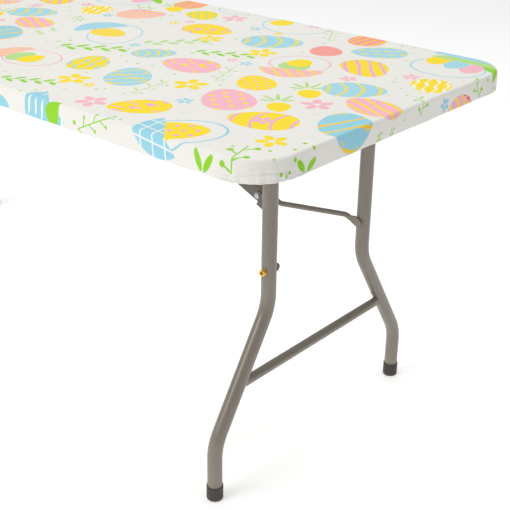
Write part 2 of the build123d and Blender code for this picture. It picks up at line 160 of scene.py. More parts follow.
class Shader:
    def __init__(self, name):
        self.material = bpy.data.materials.new(name)
        self.material.use_nodes = True
        self.tree = self.material.node_tree
        self.tree.nodes.clear()

    def add(self, kind, settings=None, sockets=None, output=0):
        node = self.tree.nodes.new(kind)
        for key, value in (settings or {}).items():
            setattr(node, key, value)
        for key, value in (sockets or {}).items():
            if isinstance(value, Signal):
                self.tree.links.new(value.socket, node.inputs[key])
            else:
                node.inputs[key].default_value = value
        return Signal(self, node.outputs[output]) if node.outputs else node

    def where(self, scale=(1, 1, 1), turn=(0, 0, 0)):
        spot = self.add("ShaderNodeTexCoord").output("Object")
        return self.add("ShaderNodeMapping", None, {"Vector": spot, "Rotation": turn, "Scale": scale})

    def noise(self, vector, scale, detail=2.0, roughness=0.5):
        sockets = {"Vector": vector, "Scale": scale, "Detail": detail, "Roughness": roughness}
        return self.add("ShaderNodeTexNoise", None, sockets)

    def attribute(self, name, output="Vector"):
        return self.add("ShaderNodeAttribute", {"attribute_name": name}).output(output)

    def split(self, vector):
        x = self.add("ShaderNodeSeparateXYZ", None, {"Vector": vector})
        return x, x.output("Y"), x.output("Z")

    def mix(self, factor, first, second):
        settings = {"data_type": "RGBA", "clamp_factor": True}
        return self.add("ShaderNodeMix", settings, {0: factor, 6: first, 7: second}, output=2)

    def range(self, value, low, high, newLow, newHigh):
        sockets = {"Value": value, "From Min": low, "From Max": high, "To Min": newLow, "To Max": newHigh}
        return self.add("ShaderNodeMapRange", None, sockets)

    def bump(self, height, depth, normal=None):
        # depth in metres from the lowest to the highest point
        sockets = {"Height": height, "Distance": depth, "Strength": 1.0}
        if normal is not None:
            sockets["Normal"] = normal
        return self.add("ShaderNodeBump", None, sockets)

    def finish(self, **sockets):
        named = {name.replace("_", " "): value for name, value in sockets.items()}
        surface = self.add("ShaderNodeBsdfPrincipled", None, named)
        self.add("ShaderNodeOutputMaterial", None, {"Surface": surface})
        return self.material


inks = {
    "yellow": linear(255, 226, 0),
    "amber": linear(255, 208, 0),
    "pink": linear(251, 186, 202),
    "coral": linear(250, 162, 152),
    "rose": linear(230, 100, 155),
    "sky": linear(166, 219, 234),
    "lightSky": linear(150, 213, 231),
    "leaf": linear(146, 216, 24),
    "paleLeaf": linear(184, 225, 140),
    "lilac": linear(241, 176, 226),
    "white": linear(250, 248, 244),
}

# How an egg or basket is drawn on: lines along and across it, their bow, ripple height and count,
# line width, dots to a half length, dot size, dash count, small flower in the middle, crossed lines
patterns = {
    "plain": (0, 0, 0, 0, 0, 0, 0, 0, 0, 0, 0),
    "arcs": (1.9, 0, 0.9, 0, 0, 0.085, 0, 0, 0, 0, 0),
    "dots": (0, 0, 0, 0, 0, 0, 2.4, 0.2, 0, 0, 0),
    "smallDots": (0, 0, 0, 0, 0, 0, 2.6, 0.17, 0, 0, 0),
    "dashes": (0, 2.2, 0, 0.08, 6, 0.12, 0, 0, 14, 0, 0),
    "doodle": (0.9, 2.0, 0.5, 0.2, 8, 0.11, 0, 0, 11, 0, 0),
    "waves": (0.3, 2.4, 0, 0.14, 8, 0.11, 0, 0, 0, 0, 0),
    "wavesDots": (2.2, 0.6, 0, 0.16, 8, 0.09, 2.2, 0.12, 0, 0, 0),
    "stripes": (0.5, 2.6, 0.3, 0.06, 5, 0.14, 0, 0, 0, 0, 0),
    "flowerBands": (1.75, 0, 0.7, 0, 0, 0.075, 0, 0, 0, 1, 0),
    "cornerBands": (1.5, 0.9, 0, 0.1, 4, 0.09, 1.7, 0.09, 0, 0, 0),
    "scallops": (2.2, 0, 1.6, 0.1, 9, 0.12, 0, 0, 0, 0, 0),
    "slants": (1.3, 1.3, 0, 0, 0, 0.15, 0, 0, 0, 0, 0),
    "zigzag": (0, 2.0, 0, 0.25, 16, 0.16, 0, 0, 0, 0, 0),
    "lattice": (1.5, 0.8, 0, 0, 0, 0.05, 0, 0, 0, 0, 1),
    "rain": (2.6, 1.2, 0, 0.05, 5, 0.13, 0, 0, 20, 0, 0),
}

# Millimetres in one repeat: along, across, length, width, the way the narrow end points, colour, mark
eggs = [
    (453, -47, 125, 94, 185, "pink", "yellow", "doodle"),
    (624, -52, 98, 72, 140, "yellow", "lilac", "smallDots"),
    (655, -163, 126, 96, 140, "pink", "yellow", "dots"),
    (425, -183, 122, 88, 125, "sky", "yellow", "wavesDots"),
    (775, -211, 124, 90, 200, "yellow", "lilac", "flowerBands"),
    (573, -296, 112, 76, 222, "yellow", "lilac", "doodle"),
    (891, -137, 128, 96, 130, "lightSky", "amber", "cornerBands"),
    (865, -28, 116, 80, 165, "pink", "yellow", "stripes"),
    (298, -168, 105, 80, 115, "yellow", "sky", "waves"),
    (338, -33, 92, 68, 45, "sky", "yellow", "scallops"),
    (452, 201, 132, 104, 30, "sky", "yellow", "arcs"),
    (784, 34, 118, 90, 32, "sky", "yellow", "arcs"),
    (713, 167, 124, 92, 320, "yellow", "lilac", "stripes"),
    (579, 219, 80, 66, 130, "coral", "pink", "plain"),
    (667, 283, 115, 86, 215, "sky", "yellow", "dashes"),
    (591, 353, 104, 78, 100, "coral", "amber", "stripes"),
    (871, 151, 92, 74, 300, "yellow", "white", "waves"),
    (279, 188, 120, 92, 5, "yellow", "lilac", "doodle"),
    (66, 191, 115, 85, 45, "pink", "yellow", "stripes"),
    (175, 282, 92, 74, 320, "yellow", "paleLeaf", "waves"),
    (76, 354, 110, 76, 100, "coral", "amber", "stripes"),
    (962, 192, 66, 84, 180, "rose", "amber", "slants"),
    (739, -41, 52, 42, 310, "yellow", "amber", "plain"),
    (748, -138, 52, 42, 310, "yellow", "amber", "plain"),
    (84, 283, 52, 42, 310, "yellow", "amber", "plain"),
    (164, -228, 66, 50, 90, "paleLeaf", "leaf", "plain"),
    (195, -226, 58, 44, 90, "yellow", "amber", "plain"),
    (143, 21, 88, 64, 0, "yellow", "lilac", "smallDots"),
    (707, -343, 108, 80, 40, "yellow", "lilac", "dots"),
    (603, 89, 66, 62, 100, "paleLeaf", "leaf", "plain"),
    (598, 111, 56, 48, 100, "yellow", "amber", "plain"),
    (787, 314, 62, 48, 270, "yellow", "amber", "plain"),
    (829, 309, 62, 46, 270, "sky", "sky", "plain"),
    (867, 302, 66, 46, 280, "pink", "pink", "plain"),
    (356, 354, 62, 50, 90, "yellow", "amber", "plain"),
    (302, -412, 46, 32, 140, "lightSky", "white", "plain"),
    (903, 321, 64, 22, 325, "leaf", "leaf", "plain"),
]

# Rim centre, rim length, depth, the way that is up, colour, mark
baskets = [
    (140, -225, 112, 50, 0, "pink", "yellow", "zigzag"),
    (107, 37, 124, 60, 335, "sky", "white", "plain"),
    (695, -358, 130, 56, 44, "lightSky", "white", "lattice"),
    (614, 65, 128, 58, 117, "pink", "yellow", "zigzag"),
    (828, 334, 146, 36, 270, "paleLeaf", "leaf", "plain"),
    (822, 359, 150, 80, 270, "sky", "white", "plain"),
    (378, 375, 120, 60, 270, "sky", "white", "plain"),
    (432, -376, 108, 82, 53, "lightSky", "white", "rain"),
    (460, -402, 56, 34, 350, "leaf", "leaf", "plain"),
]

# Centre, radius along and across, the way its long axis points, line width, colour
handles = [
    (189, -221, 66, 52, 0, 7, "pink"),
    (164, 21, 84, 57, 303, 7, "sky"),
    (716, -340, 73, 55, 46, 8, "lightSky"),
    (601, 106, 60, 58, 27, 7, "pink"),
    (828, 281, 74, 64, 0, 8, "sky"),
    (400, 353, 80, 75, 0, 7, "sky"),
    (197, 380, 45, 42, 0, 6, "sky"),
]

# Centre, width, turn, colour
flowers = [
    (544, -143, 68, 10, "yellow"),
    (362, -262, 66, 20, "yellow"),
    (852, -280, 56, 40, "yellow"),
    (494, 118, 64, 0, "yellow"),
    (339, 132, 58, 30, "yellow"),
    (413, -269, 26, 0, "yellow"),
    (416, 267, 26, 30, "yellow"),
    (182, 182, 26, 10, "yellow"),
    (788, -82, 60, 20, "pink"),
    (492, -332, 60, 45, "pink"),
    (250, 310, 62, 20, "pink"),
    (812, 175, 36, 10, "pink"),
    (733, 85, 36, 40, "pink"),
    (487, 37, 26, 0, "pink"),
    (199, 217, 26, 30, "pink"),
    (432, 375, 34, 0, "pink"),
    (607, -221, 34, 20, "sky"),
    (525, 34, 30, 0, "sky"),
    (352, 265, 30, 10, "sky"),
    (262, -13, 30, 30, "sky"),
    (934, 131, 28, 20, "lightSky"),
]

# Centre, length, the way it grows, kind, colour
greens = [
    (219, -86, 145, 32, "vine", "leaf"),
    (311, -323, 115, 26, "vine", "leaf"),
    (308, 63, 135, 52, "vine", "paleLeaf"),
    (447, 61, 125, 27, "vine", "leaf"),
    (544, -50, 95, 110, "sprig", "paleLeaf"),
    (503, -204, 100, 92, "sprig", "paleLeaf"),
    (509, 330, 90, 120, "sprig", "paleLeaf"),
    (701, 377, 80, 10, "sprig", "paleLeaf"),
    (552, -392, 92, 25, "sprig", "leaf"),
    (850, -360, 82, 106, "bush", "leaf"),
    (800, -397, 44, 86, "sprout", "leaf"),
    (933, -273, 32, 172, "fork", "leaf"),
    (950, -42, 34, 150, "vine", "leaf"),
    (952, -80, 40, 160, "vine", "leaf"),
    (912, 61, 50, 155, "bush", "leaf"),
    (934, 249, 52, 205, "bush", "leaf"),
    (704, -3, 46, 130, "tuft", "paleLeaf"),
    (713, -97, 46, 130, "tuft", "paleLeaf"),
    (50, 319, 46, 130, "tuft", "paleLeaf"),
]

# Kind code, leaves or twigs along it, spread of a fan in degrees, leaf width
growth = {
    "vine": (1, 4, 0, 0.16),
    "sprig": (2, 3, 0, 0.1),
    "bush": (2, 2, 0, 0.14),
    "sprout": (3, 2, 50, 0.22),
    "fork": (3, 2, 92, 0.3),
    "tuft": (3, 5, 36, 0.13),
}
printPlan = {
    "repeat": 914.5,
    "halfWidth": 440,
    "dots": 90,
    "dotSize": (2.2, 4.2),
    "dotGap": 12,  # from a small dot to the edge of a motif
    "dotSeed": 7,
    "layerGap": 14,  # between two motifs of one layer
    "faceReach": 9.0,
    "farAway": 9.0,  # the local place on faces with no motif
    "inkStrength": 0.93,
}

# Leaf-green specks: along, across, width
specks = [
    (932, -336, 7), (940, -325, 6), (937, -317, 6), (921, -301, 8), (902, -286, 7),
    (914, -253, 7), (896, -253, 8), (878, -316, 7), (502, -402, 8), (822, -338, 6),
]


def ink(name):
    # the cloth takes a little less than the full ink
    return (*[channel * printPlan["inkStrength"] for channel in inks[name][:3]], 1.0)


def gapAlong(first, second):
    # the shortest way between two places along the cloth, as the print repeats
    half = printPlan["repeat"] / 2
    return (first - second + half) % printPlan["repeat"] - half


def patternValues(name):
    along, across, bow, rise, count, width, dots, dotSize, dash, flower, crossed = patterns[name]
    return {
        "Lines": (along, across, bow),
        "Ripple": (rise, count, width),
        "Spots": (dots, dotSize, dash),
        "Extra": (flower, crossed, 0),
    }


def motif(x, y, reachU, reachV, scaleU, scaleV, way, third, values):
    # reach is how far the drawing goes from its centre; scale makes the local place a share of it
    spot = {"x": x, "y": y, "reach": (reachU, reachV), "scale": (scaleU, scaleV)}
    spot.update({"way": math.radians(way), "third": third, "values": values})
    return spot


def eggMotifs():
    made = []
    for x, y, length, width, way, colour, mark, pattern in eggs:
        half = length / 2
        values = {"Base": ink(colour), "Mark": ink(mark), **patternValues(pattern)}
        made.append(motif(x, y, half, width * 0.6, half, half, way, width / length, values))
    return made


def basketMotifs():
    made = []
    for x, y, rim, depth, up, colour, mark, pattern in baskets:
        values = {"Base": ink(colour), "Mark": ink(mark), **patternValues(pattern)}
        way = up - 90
        turn = math.radians(way)
        # the drawing hangs below its rim, so its middle is half its depth down
        middleX = x + math.sin(turn) * depth / 2
        middleY = y - math.cos(turn) * depth / 2
        made.append(motif(middleX, middleY, rim / 2, depth * 0.55, rim / 2, depth / 2, way, 0, values))
    return made


def handleMotifs():
    made = []
    for x, y, radiusU, radiusV, way, line, colour in handles:
        thickness = line / (radiusU + radiusV)
        reach = (radiusU + line, radiusV + line)
        values = {"Base": ink(colour)}
        made.append(motif(x, y, *reach, radiusU, radiusV, way, thickness, values))
    return made


def flowerMotifs(taken):
    made = []
    for x, y, width, turn, colour in flowers:
        half = width / 2
        made.append(motif(x, y, half, half, half, half, turn, 1, {"Base": ink(colour)}))
    for x, y, width in specks:
        made.append(motif(x, y, *[width / 2] * 4, 0, 0, {"Base": ink("leaf")}))
    draw = np.random.default_rng(printPlan["dotSeed"])
    while len(made) < len(flowers) + len(specks) + printPlan["dots"]:
        x = draw.uniform(0, printPlan["repeat"])
        y = draw.uniform(-printPlan["halfWidth"], printPlan["halfWidth"])
        size = draw.uniform(*printPlan["dotSize"])
        free = True
        for other in taken + made:
            gap = math.hypot(gapAlong(x, other["x"]), y - other["y"])
            free = free and gap > max(other["reach"]) * 0.9 + printPlan["dotGap"]
        if free:
            made.append(motif(x, y, size, size, size, size, 0, 0, {"Base": ink("paleLeaf")}))
    return made


def greenMotifs():
    made = []
    for x, y, length, way, kind, colour in greens:
        code, count, spread, leafWidth = growth[kind]
        half = length / 2
        plan = (count, math.radians(spread), leafWidth)
        values = {"Base": ink(colour), "Plan": plan}
        reachV = half if code == 3 else half * 1.6 / count
        made.append(motif(x, y, half, reachV, half, half, way, code, values))
    return made


def sortIntoLayers(motifs, count):
    # neighbours go in different layers, so that no face is asked to hold two of one layer
    layers = [[] for _ in range(count)]
    for spot in motifs:
        def crowding(layer):
            gaps = [0.0]
            for other in layer:
                gap = math.hypot(gapAlong(spot["x"], other["x"]), spot["y"] - other["y"])
                gaps.append(max(spot["reach"]) + max(other["reach"]) + printPlan["layerGap"] - gap)
            return max(gaps)
        min(layers, key=crowding).append(spot)
    return layers


def layPrint(mesh, flat, layerMotifs):
    # each layer stores, on every face corner, its motif's own coordinates and values
    loopVertex = np.zeros(len(mesh.loops), np.int32)
    mesh.loops.foreach_get("vertex_index", loopVertex)
    loopTotal = np.zeros(len(mesh.polygons), np.int32)
    mesh.polygons.foreach_get("loop_total", loopTotal)
    loopFace = np.repeat(np.arange(len(mesh.polygons)), loopTotal)
    corner = flat[loopVertex] / mm
    middle = np.stack([np.bincount(loopFace, corner[:, k]) / loopTotal for k in (0, 1)], 1)
    for layer, motifs in layerMotifs.items():
        best = np.full(len(middle), np.inf)
        place = np.full((len(corner), 3), printPlan["farAway"], np.float32)
        stored = {}
        for spot in motifs:
            for shift in (-2, -1, 0, 1):
                x = spot["x"] + shift * printPlan["repeat"]
                cosine, sine = math.cos(spot["way"]), math.sin(spot["way"])
                dx, dy = middle[:, 0] - x, middle[:, 1] - spot["y"]
                u, v = dx * cosine + dy * sine, dy * cosine - dx * sine
                reachU, reachV = spot["reach"]
                margin = printPlan["faceReach"]
                near = (abs(u) < reachU + margin) & (abs(v) < reachV + margin)
                score = (u / reachU) ** 2 + (v / reachV) ** 2
                take = near & (score < best)
                if not take.any():
                    continue
                best[take] = score[take]
                loops = take[loopFace]
                dx, dy = corner[loops, 0] - x, corner[loops, 1] - spot["y"]
                place[loops, 0] = (dx * cosine + dy * sine) / spot["scale"][0]
                place[loops, 1] = (dy * cosine - dx * sine) / spot["scale"][1]
                place[loops, 2] = spot["third"]
                for name, value in spot["values"].items():
                    if name not in stored:
                        stored[name] = np.zeros((len(corner), len(value)), np.float32)
                    stored[name][loops] = value
        stored["Place"] = place
        for name, values in stored.items():
            kind = "FLOAT_COLOR" if values.shape[1] == 4 else "FLOAT_VECTOR"
            attribute = mesh.attributes.new(layer + name, kind, "CORNER")
            attribute.data.foreach_set("color" if kind == "FLOAT_COLOR" else "vector", values.ravel())


# Lengths here are shares of a motif's half length, and leans are in degrees
flowerShape = {"petals": 5, "middle": 0.59, "length": 0.41, "width": 0.27}
eggTaper = 0.17
bowlRoundness = 0.62
leafShape = {"lean": 38, "rise": 0.32, "length": 0.4, "stem": 0.035}
twigShape = {"lean": 52, "halfLength": 0.26, "thickness": 0.04, "budAlong": 0.1, "budRise": 0.45}
fanShape = {"middle": 0.56, "length": 0.42, "widthShare": 0.6}
# How crisp each edge is printed: a higher number is crisper
crispness = {
    "egg": 26, "basket": 20, "handle": 60, "petal": 6, "dot": 3, "leaf": 5, "stem": 40, "stemEnd": 50,
    "twig": 40, "bud": 80, "fan": 5, "line": 14, "lineGap": 6, "spot": 60, "smallPetal": 4,
}


def oval(along, aside, length, width):
    # above zero inside an oval of this half length and half width
    along, aside = along / length, aside / width
    return 1 - along * along - aside * aside


def drawPetals(u, v):
    # five petals about a small open middle
    radius = (u * u + v * v).math("SQRT")
    turn = v.math("ARCTAN2", u) * (flowerShape["petals"] / math.tau)
    offset = (turn.math("FRACT") - 0.5) * (math.tau / flowerShape["petals"])
    along = radius * offset.math("COSINE") - flowerShape["middle"]
    aside = radius * offset.math("SINE")
    return oval(along, aside, flowerShape["length"], flowerShape["width"])


def drawMarks(shader, layer, u, v):
    along, across, bow = shader.split(shader.attribute(layer + "Lines"))
    rise, count, width = shader.split(shader.attribute(layer + "Ripple"))
    dots, dotSize, dash = shader.split(shader.attribute(layer + "Spots"))
    flower, crossed = shader.split(shader.attribute(layer + "Extra"))[:2]
    sway = rise * ((u + v) * count).math("SINE")
    lines = 0
    for side in (1, -1):
        phase = along * u + across * (v * side) + bow * (v * v) + sway
        line = (width - abs(phase.math("FRACT") - 0.5)).inside(crispness["line"])
        lines = line if side == 1 else lines.math("MAXIMUM", line * crossed)
    undashed = dash.math("LESS_THAN", 0.5)
    gaps = ((u * dash + v * 3).math("SINE") + 0.35 + undashed).inside(crispness["lineGap"])
    row = v * dots
    rowNumber = row.math("ROUND")
    stepU = (u * dots + rowNumber * 0.5).math("FRACT") - 0.5
    stepV = row - rowNumber
    spots = (dotSize * dotSize - stepU * stepU - stepV * stepV).inside(crispness["spot"])
    petals = drawPetals(u * 3.4, v * 3.4).inside(crispness["smallPetal"]) * flower
    return (lines * gaps).math("MAXIMUM", spots * dots.math("GREATER_THAN", 0.5)).math("MAXIMUM", petals)


def markedInk(shader, layer, u, v):
    base = shader.attribute(layer + "Base", "Color")
    return shader.mix(drawMarks(shader, layer, u, v), base, shader.attribute(layer + "Mark", "Color"))


def paintEggs(shader, under, layer):
    u, v, share = shader.split(shader.attribute(layer + "Place"))
    shape = oval(u, v, 1, share * (1 - eggTaper * u))
    return shader.mix(shape.inside(crispness["egg"]), under, markedInk(shader, layer, u, v))


def paintBaskets(shader, under, layer):
    u, v = shader.split(shader.attribute(layer + "Place"))[:2]
    # a bowl below a straight rim
    bottom = (1 - u * u).math("MAXIMUM", 0.0).math("POWER", bowlRoundness)
    shape = (1 - v).math("MINIMUM", v + 2 * bottom - 1)
    return shader.mix(shape.inside(crispness["basket"]), under, markedInk(shader, layer, u, v))


def paintHandles(shader, under, layer):
    u, v, line = shader.split(shader.attribute(layer + "Place"))
    ring = line * 0.5 - abs((u * u + v * v).math("SQRT") - 1)
    return shader.mix(ring.inside(crispness["handle"]), under, shader.attribute(layer + "Base", "Color"))


def paintFlowers(shader, under, layer):
    u, v, petalled = shader.split(shader.attribute(layer + "Place"))
    dot = (1 - u * u - v * v).inside(crispness["dot"])
    petals = drawPetals(u, v).inside(crispness["petal"])
    shape = petalled * petals + (1 - petalled) * dot
    return shader.mix(shape, under, shader.attribute(layer + "Base", "Color"))


def paintGreens(shader, under, layer):
    u, v, kind = shader.split(shader.attribute(layer + "Place"))
    count, spread, leafWidth = shader.split(shader.attribute(layer + "Plan"))
    side = v.math("SIGN")
    cell = (u * count * 0.5 + side * 0.25).math("FRACT") - 0.5
    height = abs(v) * count * 0.5
    within = (1 - abs(u)).inside(crispness["stemEnd"])
    # paired leaves beside a thin stem
    lean = math.radians(leafShape["lean"])
    rise = height - leafShape["rise"]
    along = cell * math.cos(lean) + rise * math.sin(lean)
    aside = rise * math.cos(lean) - cell * math.sin(lean)
    leaf = oval(along, aside, leafShape["length"], leafWidth).inside(crispness["leaf"])
    stem = (leafShape["stem"] - height).inside(crispness["stem"])
    vine = leaf.math("MAXIMUM", stem)
    # twigs with a bud at each tip
    lean = math.radians(twigShape["lean"])
    foot = cell + 0.25
    reach = foot * math.cos(lean) + height * math.sin(lean)
    off = height * math.cos(lean) - foot * math.sin(lean)
    ends = twigShape["halfLength"] - abs(reach - twigShape["halfLength"])
    twig = (twigShape["thickness"] - abs(off)).math("MINIMUM", ends).inside(crispness["twig"])
    budU, budV = cell - twigShape["budAlong"], height - twigShape["budRise"]
    bud = (leafWidth * leafWidth - budU * budU - budV * budV).inside(crispness["bud"])
    sprig = twig.math("MAXIMUM", bud).math("MAXIMUM", stem)
    # a fan of leaves from one point, which is at the low end
    rise = (u + 1) * 0.5
    radius = (rise * rise + v * v * 0.25).math("SQRT")
    bearing = (v * 0.5).math("ARCTAN2", rise)
    turn = (bearing / (spread + 0.001) + count * 0.5).math("FLOOR")
    turn = turn.math("MAXIMUM", 0.0).math("MINIMUM", count - 1)
    offset = bearing - (turn - (count - 1) * 0.5) * spread
    out = radius * offset.math("COSINE") - fanShape["middle"]
    beside = radius * offset.math("SINE")
    fan = oval(out, beside, fanShape["length"], leafWidth * fanShape["widthShare"]).inside(crispness["fan"])
    shape = vine * kind.math("COMPARE", 1.0, 0.5) + sprig * kind.math("COMPARE", 2.0, 0.5)
    shape = shape * within + fan * kind.math("COMPARE", 3.0, 0.5)
    return shader.mix(shape, under, shader.attribute(layer + "Base", "Color"))


cloth = {
    "cornerRadius": 82 * mm,
    "topRoll": 5.5 * mm,
    "bottomRoll": 3 * mm,
    "returnWidth": 30 * mm,
    "thickness": 0.6 * mm,
    "alongSteps": 200,
    "acrossSteps": 76,
    "cornerSteps": 34,
    "crowding": 0.45,  # how much closer the points are near a corner
    "pleatDepth": 2.8 * mm,
    "slackDepth": 1.2 * mm,
    "dip": 1.6 * mm,
    "cornerFade": 45 * mm,
    "pleatPitches": (13 * mm, 19 * mm, 29 * mm),
    "slackPitches": (110 * mm, 170 * mm, 260 * mm),
    "dipPitches": (70 * mm, 120 * mm, 310 * mm),
    "returnSteps": 8,
    "bottomSteps": 4,
    "skirtSteps": 9,
    "topSteps": 6,
    "topRings": (10, 14, 19, 25, 32, 40, 49, 59, 70),  # millimetres in from the outline
    "seed": 11,
}


def outlinePath(halfLength, halfWidth, radius, alongSteps, acrossSteps, cornerSteps, crowding=0.0):
    # core points and outward directions round a rectangle with rounded corners
    coreX, coreY = halfLength - radius, halfWidth - radius
    corners = [(coreX, -coreY), (coreX, coreY), (-coreX, coreY), (-coreX, -coreY)]
    core, outward = [], []
    for side in range(4):
        start, end = np.array(corners[side]), np.array(corners[(side + 1) % 4])
        steps = acrossSteps if side % 2 == 0 else alongSteps
        heading = side * math.pi / 2
        for step in range(steps):
            share = step / steps
            share -= crowding * math.sin(math.tau * share) / math.tau
            core.append(start + (end - start) * share)
            outward.append((math.cos(heading), math.sin(heading)))
        for step in range(cornerSteps):
            angle = heading + math.pi / 2 * step / cornerSteps
            core.append(end)
            outward.append((math.cos(angle), math.sin(angle)))
    core, outward = np.array(core), np.array(outward)
    rim = core + outward * radius
    steps = np.linalg.norm(np.roll(rim, -1, 0) - rim, axis=1)
    along = np.concatenate([[0], np.cumsum(steps)[:-1]])
    return core, outward, along, steps.sum()


def waves(along, around, pitches, draw):
    # a sum of sines that closes on itself round the table
    total = 0
    for pitch in pitches:
        count = max(1, round(around / pitch))
        total = total + np.sin(math.tau * count * along / around + draw.uniform(0, math.tau))
    return total / len(pitches)


def cornerNearness(core, halfLength, halfWidth, radius, fade):
    # 1 round a corner, falling to 0 along the straight sides
    coreX, coreY = halfLength - radius, halfWidth - radius
    away = np.maximum(coreX - abs(core[:, 0]), 0) + np.maximum(coreY - abs(core[:, 1]), 0)
    return np.exp(-((away / fade) ** 1.5))


def meshFrom(name, points, faces, materials):
    mesh = bpy.data.meshes.new(name)
    mesh.from_pydata([tuple(p) for p in points], [], faces)
    mesh.update()
    for material in materials:
        mesh.materials.append(material)
    mesh.polygons.foreach_set("use_smooth", [True] * len(mesh.polygons))
    piece = bpy.data.objects.new(name, mesh)
    bpy.context.scene.collection.objects.link(piece)
    return piece


def bakeModifiers(piece):
    graph = bpy.context.evaluated_depsgraph_get()
    finished = bpy.data.meshes.new_from_object(piece.evaluated_get(graph))
    piece.modifiers.clear()
    piece.data = finished
    return piece


def thicken(piece, thickness, insideMaterial=0):
    # a wall inwards from the outer face
    shell = piece.modifiers.new("thickness", "SOLIDIFY")
    shell.thickness = thickness
    shell.offset = -1.0
    shell.material_offset = insideMaterial
    shell.material_offset_rim = insideMaterial
    return bakeModifiers(piece)


def clothProfile():
    # from the hem up to the start of the level top: inset and height,
    # then how far the flat cut is inside the outline
    bottom, top = clothLow.z, clothHigh.z
    roll, low = cloth["topRoll"], cloth["bottomRoll"]
    rows = []
    for share in np.linspace(1, 0, cloth["returnSteps"] + 1)[:-1]:
        rows.append((low + (cloth["returnWidth"] - low) * share, bottom))
    for step in range(cloth["bottomSteps"] + 1):
        angle = math.pi / 2 * step / cloth["bottomSteps"]
        rows.append((low * (1 - math.sin(angle)), bottom + low * (1 - math.cos(angle))))
    for share in np.linspace(0, 1, cloth["skirtSteps"] + 1)[1:-1]:
        rows.append((0.0, bottom + low + (top - roll - bottom - low) * share))
    for step in range(cloth["topSteps"] + 1):
        angle = math.pi / 2 * step / cloth["topSteps"]
        rows.append((roll * (1 - math.cos(angle)), top - roll * (1 - math.sin(angle))))
    rows = np.array(rows)
    lengths = np.linalg.norm(np.diff(rows, axis=0), axis=1)
    flat = rows[-1, 0] - np.concatenate([np.cumsum(lengths[::-1])[::-1], [0]])
    return rows, flat


def clothShape():
    halfLength, halfWidth = clothHigh.x, clothHigh.y
    radius = cloth["cornerRadius"]
    steps = (cloth["alongSteps"], cloth["acrossSteps"])
    core, outward, along, around = outlinePath(halfLength, halfWidth, radius, *steps, cloth["cornerSteps"],
                                               cloth["crowding"])
    nearness = cornerNearness(core, halfLength, halfWidth, radius, cloth["cornerFade"])
    draw = np.random.default_rng(cloth["seed"])
    pleats = 0.5 + 0.5 * waves(along, around, cloth["pleatPitches"], draw)
    slack = 0.5 + 0.5 * waves(along, around, cloth["slackPitches"], draw)
    dips = 0.5 + 0.5 * waves(along, around, cloth["dipPitches"], draw)
    rows, flatInset = clothProfile()
    bottom, top = clothLow.z, clothHigh.z
    points, flat, gather = [], [], []
    for (inset, height), cut in zip(rows, flatInset):
        depth = min(max((top - cloth["topRoll"] - height) / (top - cloth["topRoll"] - bottom), 0), 1)
        returned = 0
        if height < bottom + mm:
            returned = max(0.0, (inset - cloth["bottomRoll"]) / cloth["returnWidth"])
        out = nearness * pleats * cloth["pleatDepth"] * depth ** 0.7
        out = out + (1 - nearness) * slack * cloth["slackDepth"] * depth
        out = out * (1 - returned)
        down = cloth["dip"] * dips * depth ** 2 * (1 - returned)
        ring = core + outward * (radius - inset + out)[:, None]
        points.append(np.column_stack([ring, height - down]))
        flat.append(core + outward * (radius - cut))
        gather.append(nearness * depth)
    for inset in np.array(cloth["topRings"]) * mm:
        ring = core + outward * (radius - inset)
        points.append(np.column_stack([ring, np.full(len(ring), top)]))
        flat.append(ring)
        gather.append(np.zeros(len(ring)))
    return core, np.concatenate(points), np.concatenate(flat), np.concatenate(gather), len(core)


def makeCloth(printMaterial, backMaterial, layerMotifs):
    core, points, flat, gather, count = clothShape()
    rings = len(points) // count
    faces = []
    for ring in range(rings - 1):
        for step in range(count):
            after = (step + 1) % count
            faces.append((ring * count + step, ring * count + after,
                          (ring + 1) * count + after, (ring + 1) * count + step))
    # the level middle is a grid whose border is the core rectangle
    alongSteps, acrossSteps, cornerSteps = cloth["alongSteps"], cloth["acrossSteps"], cloth["cornerSteps"]
    sideX = np.sort(np.unique(np.round(core[acrossSteps + cornerSteps:][:alongSteps + 1, 0], 7)))
    sideY = np.sort(np.unique(np.round(core[:acrossSteps + 1, 1], 7)))
    first = len(points)
    gridX, gridY = np.meshgrid(sideX, sideY, indexing="ij")
    level = np.column_stack([gridX.ravel(), gridY.ravel(), np.full(gridX.size, clothHigh.z)])
    points = np.concatenate([points, level])
    flat = np.concatenate([flat, level[:, :2]])
    gather = np.concatenate([gather, np.zeros(len(level))])
    across = len(sideY)
    for i in range(len(sideX) - 1):
        for j in range(across - 1):
            low = first + i * across + j
            faces.append((low, low + across, low + across + 1, low + 1))

    def borderPoint(step):
        i = int(np.argmin(abs(sideX - core[step % count, 0])))
        j = int(np.argmin(abs(sideY - core[step % count, 1])))
        return first + i * across + j

    border = [borderPoint(step) for step in range(count)]
    last = (rings - 1) * count
    for step in range(count):
        after = (step + 1) % count
        loop = [last + step, last + after, border[after], border[step]]
        if border[after] == border[step]:
            loop = loop[:3]
        faces.append(tuple(loop))
    piece = meshFrom("fittedCloth", points, faces, [printMaterial, backMaterial])
    layPrint(piece.data, flat, layerMotifs)
    mask = piece.data.attributes.new("gather", "FLOAT", "POINT")
    mask.data.foreach_set("value", gather.astype(np.float32))
    return thicken(piece, cloth["thickness"], 1)


hem = {
    "steps": 2.9 * mm,
    "halfWidth": 4.5 * mm,
    "sectionPoints": 12,
    "squareness": 0.75,  # 1 is a round tube, less is boxier
    "gatherPitches": (7.5 * mm, 10 * mm, 14 * mm),
    "gatherDepth": 0.14,
    "swayDepth": 0.5 * mm,
    "swayPitches": (60 * mm, 95 * mm),
    "wall": 0.5 * mm,
    "seed": 5,
}
band = {"steps": 6 * mm, "width": 4 * mm, "height": 1.6 * mm, "edge": 0.3 * mm}


